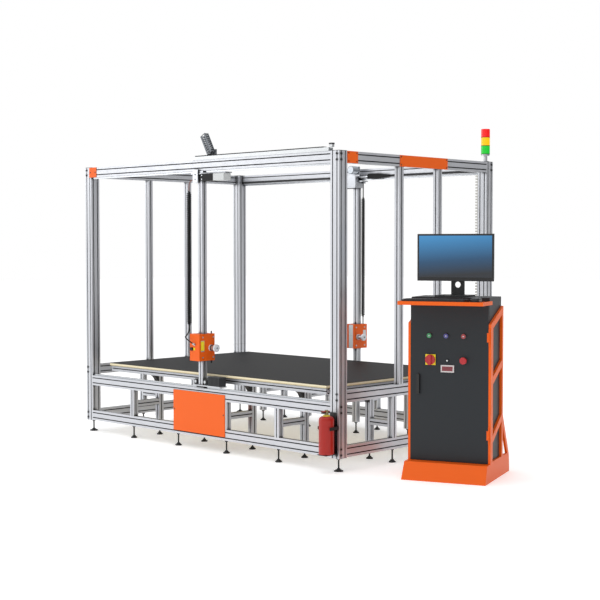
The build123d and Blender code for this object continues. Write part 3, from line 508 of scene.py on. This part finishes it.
for side, cx, mirror in (("front", FRONT_X, 1), ("rear", REAR_X, -1)):
    tower = side + "_tower"
    outward = (0, -1, 0) if side == "front" else (0, 1, 0)
    dress(side + "_column", bar_aluminium)
    dress(side + "_trolleys", milled_plate)
    dress(side + "_motors", motor_black)
    # gearbox faces of black anodised aluminium, and the pale upper motor
    gear_x = (cx + mirror * 25, cx + mirror * (GEARBOX_END + 0.5))
    gear_z = (CAP_Z - GEARBOX - 0.5, CAP_Z - 0.2)
    make_piece(
        side + "_upper_gearbox",
        [box(gear_x, depths(side, -21, 57), gear_z)],
        black_anodised, tower, edge=1.2,
    )
    motor_x = (cx + mirror * (GEARBOX_END + 1), cx + mirror * (UPPER_REACH - 3))
    make_piece(
        side + "_upper_motor",
        [box(motor_x, depths(side, -18, 53), (CAP_Z - GEARBOX - 1, CAP_Z - 1.2))],
        motor_grey, tower, edge=2.5,
    )
    bolts = []
    for dx, dz in ((46, -12), (46, -40)):
        at = (cx + mirror * dx, inwards(side, -21), CAP_Z + dz)
        bolts.append(turned([(0, 5), (3, 5)], at, outward, 20))
    for dx in (-68, -36, 36, 68):
        at = (cx + dx, inwards(side, 10), BASE_Z)
        bolts.append(turned([(0, 5), (4, 5)], at, (0, 0, 1), 20))
    make_piece(side + "_trolley_bolts", bolts, zinc, tower)
    # lower shoe, its wheels and the ribbed motor beside them
    black_parts = [box((cx - 41, cx + 41), depths(side, -6, 46), (BASE_Z - 20, BASE_Z - 7.5))]
    hubs = []
    wheel_z = BASE_Z + 24
    for dx in (-52, 52):
        wheel_face = (cx + dx, inwards(side, -3), wheel_z)
        black_parts.append(rod(wheel_face, (cx + dx, inwards(side, 42), wheel_z), 20.5, 40))
        hubs.append(rod(wheel_face, (cx + dx, inwards(side, -7), wheel_z), 11, 32))
    make_piece(side + "_lower_wheels", black_parts, black_abs, tower, edge=0.8)
    make_piece(side + "_wheel_hubs", hubs, zinc, tower)
    ribs = []
    for i in range(RIBS):
        x = cx + 92 + i * RIB_PITCH
        ribs.append(box((x, x + RIB), depths(side, -9, 61), (BASE_Z + 1, BASE_Z + 68)))
    make_piece(side + "_lower_motor_ribs", ribs, motor_black, tower, edge=1.0)


def prism(outline, y):
    """Solid from an outline of (x, z) points between two depths, in millimetres."""
    count = len(outline)
    points = [(a, depth, b) for depth in y for a, b in outline]
    faces = [tuple(range(count)), tuple(range(2 * count - 1, count - 1, -1))]
    for i in range(count):
        j = (i + 1) % count
        faces.append((j, i, count + i, count + j))
    return points, faces


# tapered belt cover beside the rear upper trolley, and the round can of its motor
wedge = [(0, -20.5), (120, -20.5), (230.5, -5.5), (230.5, 5.5), (120, 20.5), (0, 20.5)]
wedge = [(REAR_X + 145 + a, TOP - 64 + b) for a, b in wedge]
make_piece(
    "belt_cover", [prism(wedge, (DEEP - 58.6, DEEP - 49.4))],
    black_anodised, "rear_tower",
)
can_profile = [(0, 30), (3, 33.6), (70, 33.6), (73, 30)]
make_piece(
    "rear_top_motor_can",
    [turned(can_profile, (REAR_X + 52, DEEP - 91.5, TOP - 12), (0, -1, 0), 48)],
    new_material("brushed steel motor can", "#B7BDC4", 0.35, metallic=0.9), "rear_tower",
)
dress("chain_arm", new_material("dull galvanised steel", "#6C7075", 0.45, metallic=0.7))

# ------------------------------------------------------------------ wire heads
# A folded orange sheet cover hides the carriage that climbs the column. Beside it are socket-head
# bolts, the cable socket and the reel that holds the wire; the front head has yellow plates too.
HEAD_OUT = 50
REEL_Z = 760
BASE_FLANGE = [(0, 23.3), (3, 23.3), (4, 19), (9, 19), (10, 23.3), (12, 23.3)]
OUTER_DISC = [(0, 29), (12, 29), (15, 26)]
DRUM = [(0, 17.4), (44, 17.4)]
yellow_plate = new_material("plain yellow enamelled plate", "#F2DC1E", 0.4)
reel_plastic = new_material("white moulded acetal", "#DFE2E8", 0.38)
socket_rubber = new_material("black moulded rubber", "#161617", 0.55)
for side, cx in (("front", FRONT_X), ("rear", REAR_X)):
    head = side + "_head"
    dress(side + "_head_cover", orange_coat)
    dress(side + "_head_block", black_anodised)
    dress(side + "_wire_reel", reel_plastic)
    dress(side + "_head_fittings", zinc)
    cover_low, cover_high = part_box(side + "_head_cover")
    low_z, high_z = cover_low[2] * 1000, cover_high[2] * 1000
    right = cx + 45
    if side == "front":
        make_piece(
            "front_yellow_plate",
            [box((right + 0.2, right + 2.2), (-36, -4), (low_z + 76, low_z + 146))],
            yellow_plate, head, edge=0.5,
        )
        make_piece(
            "front_yellow_tag",
            [box((cx - 24, cx - 4), (-HEAD_OUT - 0.8, -HEAD_OUT), (low_z + 78, low_z + 98))],
            yellow_plate, head,
        )
    socket_x, socket_z = cx - 36, low_z + 88
    socket_root = (socket_x, inwards(side, -49), socket_z)
    make_piece(
        side + "_cable_socket",
        [rod(socket_root, (socket_x, inwards(side, -63), socket_z), 12.8, 40)],
        socket_rubber, head, edge=1.0,
    )
    slot_strip = [box((cx - 23, cx + 23), depths(side, 90, 99), (low_z + 4, high_z - 4))]
    slot_finish = black_abs if side == "front" else galvanised
    make_piece(side + "_head_slot", slot_strip, slot_finish, head)
    reel_y = inwards(side, 61)
    flanges = [
        turned(BASE_FLANGE, (right + 1, reel_y, REEL_Z), (1, 0, 0), 64),
        turned(OUTER_DISC, (right + 56, reel_y, REEL_Z), (1, 0, 0), 64),
    ]
    make_piece(side + "_reel_flanges", flanges, reel_plastic, side + "_reel")
    make_piece(
        side + "_reel_boss",
        [turned(DRUM, (right + 12.5, reel_y, REEL_Z), (1, 0, 0), 48)],
        milled_plate, side + "_reel",
    )
dress("hot_wire", new_material("nickel chrome resistance wire", "#6E6A66", 0.35, metallic=1.0))

# ------------------------------------------------------------------ coiled cables
# A spiral cable in black polyurethane hangs beside each tower, from the upper trolley to its
# head. On the machine it closes up as the head climbs; here it has one fixed shape. The front one has
# a red-brown lead at its top.
CABLE_D = 9.0
FRONT_COIL_D, REAR_COIL_D = 38.0, 32.0
COIL_TOP, COIL_LOW = 1927.0, 917.0
COIL_PITCH = 14.0
STEPS = 18
sheath = new_material("black polyurethane cable sheath", "#0C0C0D", 0.5, Specular_IOR_Level=0.3)
lead_sheath = new_material("red-brown cable sheath", "#8A6A66", 0.5)


def smooth_route(name, points):
    """Points along the smooth NURBS line of a cable route, in metres."""
    curve = bpy.data.curves.new(name, "CURVE")
    curve.dimensions = "3D"
    curve.resolution_u = 24
    spline = curve.splines.new("NURBS")
    spline.points.add(len(points) - 1)
    for target, point in zip(spline.points, points):
        target.co = (*point, 1.0)
    spline.order_u = 3
    spline.use_endpoint_u = True
    holder = bpy.data.objects.new(name, curve)
    bpy.context.collection.objects.link(holder)
    bpy.context.view_layer.update()
    line = bpy.data.meshes.new_from_object(holder)
    found = [v.co.copy() for v in line.vertices]
    bpy.data.objects.remove(holder)
    bpy.data.curves.remove(curve)
    bpy.data.meshes.remove(line)
    return found


def tube_along(path, radius, sides=10):
    """Closed round tube whose rings keep square to the path without twisting."""
    points, faces = [], []
    across = (path[1] - path[0]).orthogonal().normalized()
    for i, at in enumerate(path):
        ahead = (path[min(i + 1, len(path) - 1)] - path[max(i - 1, 0)]).normalized()
        across = (across - ahead * across.dot(ahead)).normalized()
        other = ahead.cross(across)
        for k in range(sides):
            angle = 2 * pi * k / sides
            points.append(at + across * (radius * cos(angle)) + other * (radius * sin(angle)))
    faces.append(tuple(range(sides - 1, -1, -1)))
    for i in range(len(path) - 1):
        for k in range(sides):
            n = (k + 1) % sides
            a, b = i * sides, (i + 1) * sides
            faces.append((a + k, a + n, b + n, b + k))
    faces.append(tuple(range((len(path) - 1) * sides, len(path) * sides)))
    return points, faces


def coiled_cable(side, coil_d, route):
    """Lead, spiral and tail as one tube, the spiral drawn in to its axis at both ends."""
    line = smooth_route(side + "_route", [MACHINE @ (Vector(p) / 1000) for p in route])
    axis_x, axis_y = [(MACHINE @ (Vector(p) / 1000)) for p in route if p[2] == COIL_TOP][0][:2]
    lead = [p for p in line if p.z > COIL_TOP / 1000]
    tail = [p for p in line if p.z < COIL_LOW / 1000]
    turns = round((COIL_TOP - COIL_LOW) / COIL_PITCH)
    radius = (coil_d - CABLE_D) / 2000
    count = turns * STEPS
    helix = []
    for i in range(1, count):
        share = i / count
        angle = 2 * pi * turns * share
        from_end = min(1.0, i / (2 * STEPS), (count - i) / (2 * STEPS))
        open_out = from_end * from_end * (3 - 2 * from_end)
        z = (COIL_TOP + (COIL_LOW - COIL_TOP) * share) / 1000
        reach = radius * open_out
        helix.append(Vector((axis_x + reach * cos(angle), axis_y + reach * sin(angle), z)))
    path = lead + helix + tail
    points, faces = tube_along(path, CABLE_D / 2000)
    mesh = bpy.data.meshes.new(side + "_spiral_cable")
    mesh.from_pydata([tuple(p) for p in points], [], faces)
    mesh.shade_smooth()
    mesh.materials.append(sheath)
    mesh.materials.append(lead_sheath)
    for face in mesh.polygons:
        face.material_index = int(side == "front" and face.center.z > COIL_TOP / 1000)
    obj = bpy.data.objects.new(side + "_spiral_cable", mesh)
    bpy.context.collection.objects.link(obj)
    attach(obj, side + "_tower")
    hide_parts(side + "_coil_cable", side + "_cable_tail")
    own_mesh(obj)
    return path


HEAD_LOW, HEAD_TALL = 665, 200
coil_x, coil_y = FRONT_X - 110, -13
lead_z = CAP_Z - 40
gland = Vector((FRONT_X - 5, -HEAD_OUT - 8, HEAD_LOW + 122))
gland_way = Vector((-0.6, -0.55, 0.58)).normalized()
coiled_cable("front", FRONT_COIL_D, [
    (coil_x + 48, coil_y, lead_z),
    (coil_x + 24, coil_y, lead_z - 3),
    (coil_x + 8, coil_y, lead_z - 21),
    (coil_x, coil_y, lead_z - 46),
    (coil_x, coil_y, COIL_TOP),
    (coil_x, coil_y, COIL_LOW),
    (coil_x, coil_y, COIL_LOW - 24),
    (coil_x, coil_y - 13, COIL_LOW - 51),
    (coil_x + 12, coil_y - 45, COIL_LOW - 75),
    (coil_x + 38, coil_y - 75, COIL_LOW - 74),
    tuple(gland + gland_way * 66),
    tuple(gland + gland_way * 14),
])
coil_x, coil_y = REAR_X + 32, DEEP + 16
coiled_cable("rear", REAR_COIL_D, [
    (coil_x, coil_y, CAP_Z - 12),
    (coil_x, coil_y, COIL_TOP),
    (coil_x, coil_y, COIL_LOW),
    (coil_x, coil_y, HEAD_LOW + HEAD_TALL),
])

# ------------------------------------------------------------------ control cabinet
# Dark grey sheet cabinet between two orange side frames on an orange plinth. The door hangs
# on two hinges and carries the buttons, the main switch and a small meter.
plinth_low, plinth_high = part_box("plinth")
CABINET_TURN = radians(21)
plinth_x = (plinth_low[0] + plinth_high[0]) / 2
plinth_y = (plinth_low[1] + plinth_high[1]) / 2
CABINET = Matrix.Translation((plinth_x, plinth_y, 0.0)) @ Matrix.Rotation(CABINET_TURN, 4, "Z")
CAB_FRONT, CAB_HALF = -168, 263
grey_coat = powder_coat("dark grey textured powder coat", "#24282C", 0.45)
dress("cabinet_shell", grey_coat)
dress("cabinet_door", grey_coat)
dress("plinth", orange_coat)
dress("side_frames", orange_coat)
dress("control_gear", new_material("grey enamelled drive housing", "#8B8E92", 0.45))

# push buttons: black moulded rings with satin caps, one pale lamp between switch and stop
BUTTON_Z = 934
OUT = (0, -1, 0)
RING = [(0, 19), (3, 19), (4.8, 17), (4.8, 12.2), (1, 12.2)]
CAP = [(0, 15.5), (2, 15.5), (3.2, 13)]
CENTRE = [(0, 4.5), (0.8, 4)]
caps = {
    "start_button": (-133, "green_button", new_material("green moulded cap", "#3C8C5A", 0.25)),
    "pause_button": (-19, "blue_button", new_material("blue moulded cap", "#4A4A88", 0.25)),
    "stop_button": (98, "red_button", new_material("red moulded cap", "#9A4448", 0.25)),
}
for node, (x, slot, cap) in caps.items():
    dress(node, cap)
    ring = turned(RING, (x, CAB_FRONT, BUTTON_Z), OUT, 48)
    make_piece(node + "_ring", [ring], black_abs, "door", CABINET)
    face = turned(CAP, (x, CAB_FRONT - 9.9, BUTTON_Z), OUT, 48)
    make_piece(node + "_cap", [face], cap, node, CABINET)
cap_centre = new_material("pale moulded cap centre", "#B9BEC6", 0.35)
for node, (x, slot, cap) in caps.items():
    dot = turned(CENTRE, (x, CAB_FRONT - 13.1, BUTTON_Z), OUT, 24)
    make_piece(node + "_centre", [dot], cap_centre, node, CABINET)
dress("panel_fittings", grey_coat)
HINGE_X, HINGE_Y, KNUCKLE = CAB_HALF + 4, CAB_FRONT - 4, 60
barrels = []
for z in (300, 930):
    low, high = z - KNUCKLE / 2, z + KNUCKLE / 2
    barrels.append(rod((HINGE_X, HINGE_Y, low), (HINGE_X, HINGE_Y, high), 4.4, 24))
    barrels.append(box((CAB_HALF - 10.4, HINGE_X), (HINGE_Y - 0.4, CAB_FRONT), (low, high)))
make_piece("hinge_barrels", barrels, orange_coat, "door", CABINET)
SWITCH, ESTOP, STATUS, METER = (-125, 777), (99, 777), (-11, 774), (-10, 721)


def panel_plate(centre, half, near, far):
    """Flat plate on the door: centre across and up, half sizes, and how far it stands out."""
    (x, z), (half_x, half_z) = centre, half
    return box((x - half_x, x + half_x), (CAB_FRONT - far, CAB_FRONT - near), (z - half_z, z + half_z))


yellow_abs = new_material("yellow moulded ABS", "#F3D816", 0.35)
make_piece(
    "switch_plate",
    [panel_plate(SWITCH, (34.5, 34.5), 3, 4.6)],
    yellow_abs, "door", CABINET, edge=1.0,
)
make_piece(
    "stop_collar",
    [turned([(0, 25), (3, 25), (4.4, 22)], (ESTOP[0], CAB_FRONT - 0.2, ESTOP[1]), OUT, 48)],
    black_abs, "door", CABINET,
)
red_cap = new_material("red moulded mushroom cap", "#B3222A", 0.3)
dress("emergency_stop", red_cap)
dress("main_switch", red_cap)
make_piece(
    "status_lamp",
    [turned([(0, 5), (3, 5), (4, 3)], (STATUS[0], CAB_FRONT - 7.5, STATUS[1]), OUT, 48)],
    new_material("white frosted lamp cap", "#E9EBEA", 0.3), "door", CABINET,
)
make_piece(
    "meter_bezel",
    [panel_plate(METER, (45, 24), 0.5, 7)],
    new_material("pale grey moulded bezel", "#C9C4C4", 0.4),
    "door", CABINET, edge=1.5,
)
make_piece(
    "meter_window",
    [panel_plate(METER, (36, 15), 6.5, 7.6)],
    new_material("dark red display window", "#7A3038", 0.2),
    "door", CABINET, edge=0.4,
)
dress("door_handle", new_material("black glass-filled nylon", "#151516", 0.4))

# ------------------------------------------------------------------ desk, keyboard and mouse
# The top of the cabinet is an orange folded tray for the keyboard, with a dark raised box
# behind it. The keyboard and mouse are ordinary black moulded ones.
dress("keyboard_shelf", orange_coat)
DESK = 1164
dress("keyboard", black_abs)
dress("mouse", new_material("black glossy moulded ABS", "#1A1B1D", 0.25))
key_material = new_material("black matt key cap", "#26272A", 0.5)
KEY, GAP, DRAWN_IN = 19.05, 1.4, 0.99
ROWS, COLUMNS = 5, 21
KEYS_LEFT, KEYS_NEAR = -256, -338
SPACE_FROM, SPACE_TO = 4, 10
key_z = (DESK + 11, DESK + 15)
keys = []
for row in range(ROWS):
    y = KEYS_NEAR + row * KEY
    for i in range(COLUMNS):
        x = KEYS_LEFT + i * KEY * DRAWN_IN
        if row > 0 or not SPACE_FROM <= i < SPACE_TO:
            keys.append(box((x + GAP, x + KEY - GAP), (y + GAP, y + KEY - GAP), key_z))
space_x = (KEYS_LEFT + SPACE_FROM * KEY + GAP, KEYS_LEFT + SPACE_TO * KEY - 3)
keys.append(box(space_x, (KEYS_NEAR + GAP, KEYS_NEAR + KEY - GAP), key_z))
make_piece("keyboard_keys", keys, key_material, "frame", CABINET, edge=0.8)

# ------------------------------------------------------------------ monitor
# A flat office monitor: black moulded housing with a thin bezel, a glossy panel showing a
# plain blue desktop, and a flat neck with a round cable hole.
dress("monitor_stand", black_abs)
dress("monitor", black_abs)
SCREEN_X, SCREEN_LOW, SCREEN_WIDE, SCREEN_TALL = -13, 1285, 522, 311


def lit_screen():
    """Liquid crystal panel: a blue picture, dark grey below and lighter above, behind satin glass."""
    material = new_material("lit display panel", "#101820", 0.25)
    where = add_node(material, "ShaderNodeTexCoord")
    split = add_node(material, "ShaderNodeSeparateXYZ", None, {"Vector": where.outputs["Generated"]})
    sweep = add_node(
        material, "ShaderNodeMath", {"operation": "MULTIPLY_ADD"},
        {0: split.outputs["X"], 1: -0.12, 2: split.outputs["Z"]},
    )
    ramp = add_node(material, "ShaderNodeValToRGB", None, {"Fac": sweep.outputs["Value"]})
    ramp.color_ramp.elements[0].color = linear("#232427")
    ramp.color_ramp.elements[1].color = linear("#3F93CE")
    middle = ramp.color_ramp.elements.new(0.35)
    middle.color = linear("#1C4B70")
    link(material, ramp.outputs["Color"], "Emission Color")
    shader_of(material).inputs["Emission Strength"].default_value = 0.9
    return material


half = SCREEN_WIDE / 2
BEZEL, CHIN = 12, 24
screen_z = (SCREEN_LOW + CHIN, SCREEN_LOW + SCREEN_TALL - BEZEL)
make_piece(
    "display_panel",
    [box((SCREEN_X - half + BEZEL, SCREEN_X + half - BEZEL), (-1.2, 0.5), screen_z)],
    lit_screen(), "monitor", CABINET,
)
